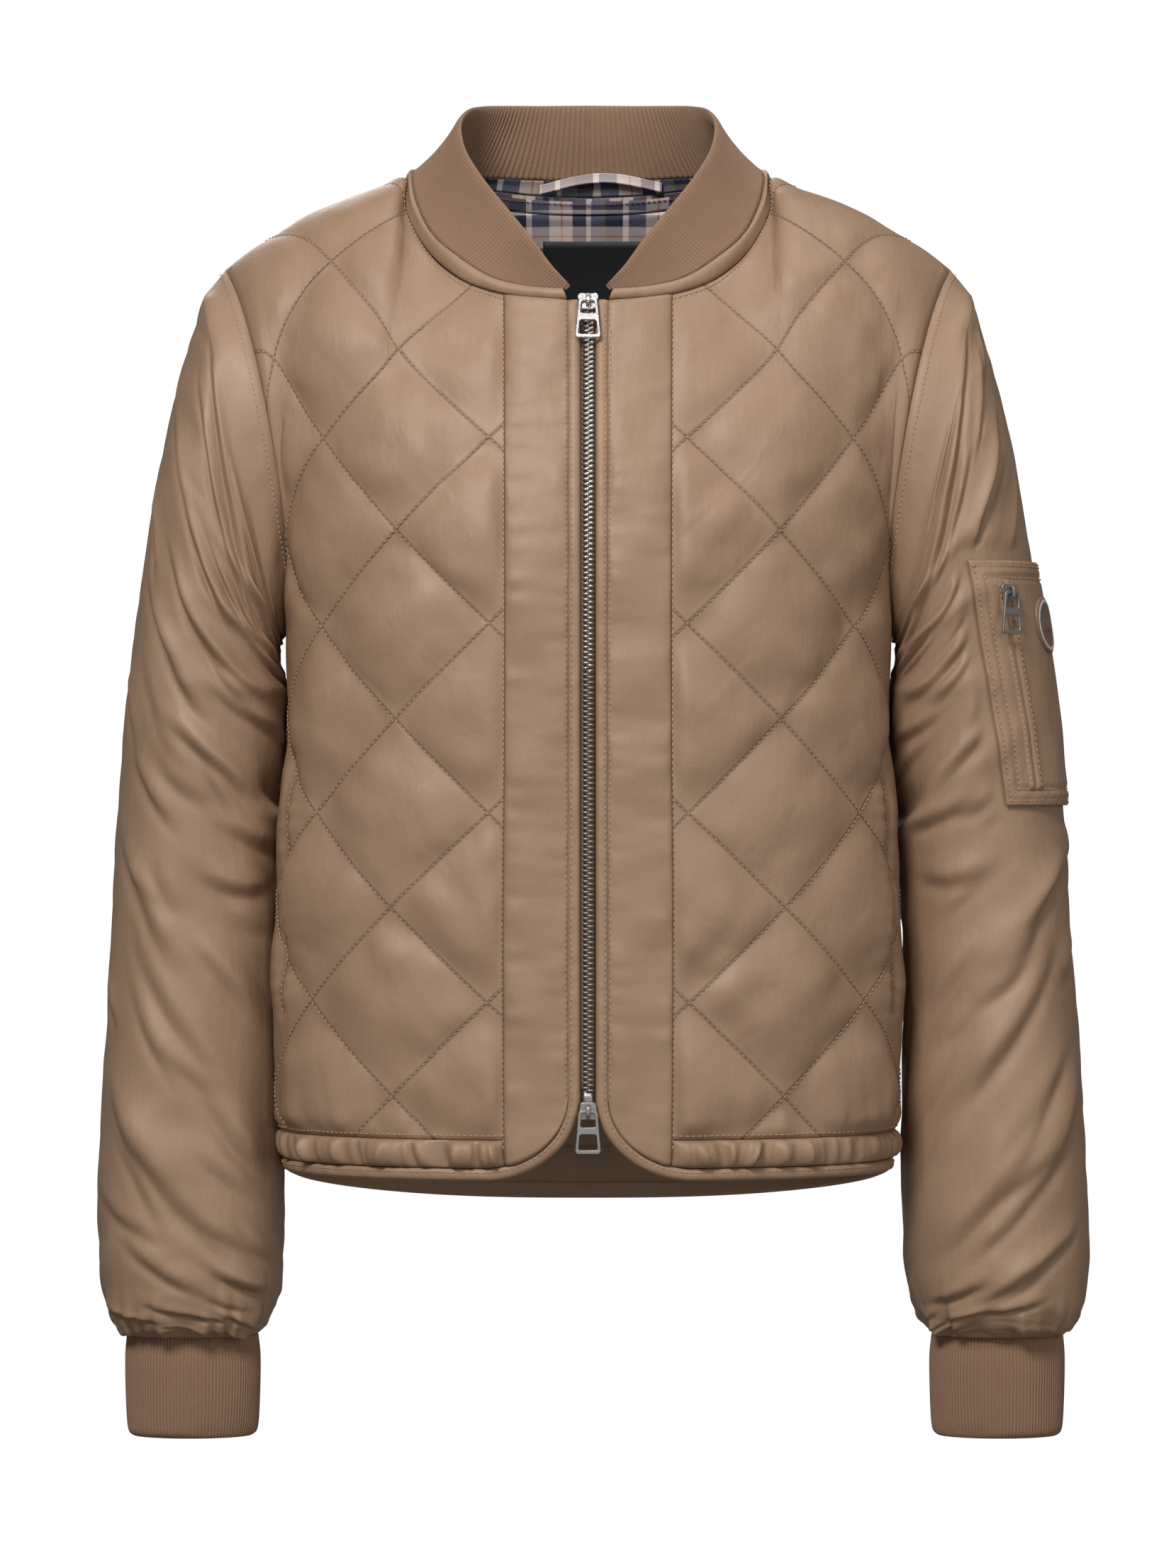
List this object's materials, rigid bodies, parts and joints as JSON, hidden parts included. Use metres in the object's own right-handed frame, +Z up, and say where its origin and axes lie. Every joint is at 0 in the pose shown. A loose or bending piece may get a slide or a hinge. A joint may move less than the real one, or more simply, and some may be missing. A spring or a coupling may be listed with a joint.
{
  "type": "quilted jacket",
  "caption": "Cropped quilted bomber jacket, filled out as if worn, with rib collar and cuffs, a two-way front zip and a zipped sleeve pocket.",
  "frame": {"origin": "middle of the neck base, level with the neck ends of the shoulder seams, where the wearer's shoulders hold the jacket", "axes": "+X to the wearer's left, -Y towards the wearer's front, +Z up"},
  "size_m": [0.5675, 0.2488, 0.768],
  "materials": {
    "shell": "taupe satin shell, quilted over wadding",
    "rib_knit": "fine rib knit, brown",
    "zip_tape": "woven tape, brown",
    "zip_metal": "polished silver metal",
    "gunmetal": "dark polished metal",
    "lining": "woven check lining in navy, grey, pale pink and tan",
    "label": "black satin label, bare",
    "badge": "soft rubber, brown with a pale rim"
  },
  "bodies": {
    "jacket": {"back": "shell", "back_lining": "lining", "badge": "badge", "collar": "rib_knit", "cuff_left": "rib_knit", "cuff_right": "rib_knit", "front_band_left": "shell", "front_band_right": "shell", "front_binding_left": "shell", "front_binding_right": "shell", "front_left": "shell", "front_right": "shell", "hanger_loop": "lining", "hem_binding_back": "shell", "hem_facing_back": "shell", "hem_tunnel_back": "shell", "hem_tunnel_left": "shell", "hem_tunnel_right": "shell", "label": "label", "neck_piping": "shell", "neck_tape": "lining", "sleeve_left": "shell", "sleeve_pocket_patch": "shell", "sleeve_pocket_welt": "shell", "sleeve_right": "shell", "slider_bottom": "gunmetal", "slider_sleeve": "gunmetal", "slider_top": "zip_metal", "zip_end_pins": "gunmetal", "zip_tape_left": "zip_tape", "zip_tape_right": "zip_tape", "zip_teeth": "zip_metal"},
    "pull_top": {"pull_top": "zip_metal"},
    "pull_bottom": {"pull_bottom": "gunmetal"},
    "pull_sleeve": {"pull_sleeve": "gunmetal"}
  },
  "joints": [
    {"name": "pull_top_swing", "type": "hinge", "parent": "jacket", "child": "pull_top", "pos_m": [0, -0.09234, -0.07976], "axis": [-1, 0, 0], "range_deg": [0, 150]},
    {"name": "pull_bottom_swing", "type": "hinge", "parent": "jacket", "child": "pull_bottom", "pos_m": [0, -0.12395, -0.5287], "axis": [-1, 0, 0], "range_deg": [0, 150]},
    {"name": "pull_sleeve_swing", "type": "hinge", "parent": "jacket", "child": "pull_sleeve", "pos_m": [0.23793, -0.05723, -0.24112], "axis": [-0.8149, -0.5796, 0], "range_deg": [0, 150]}
  ]
}
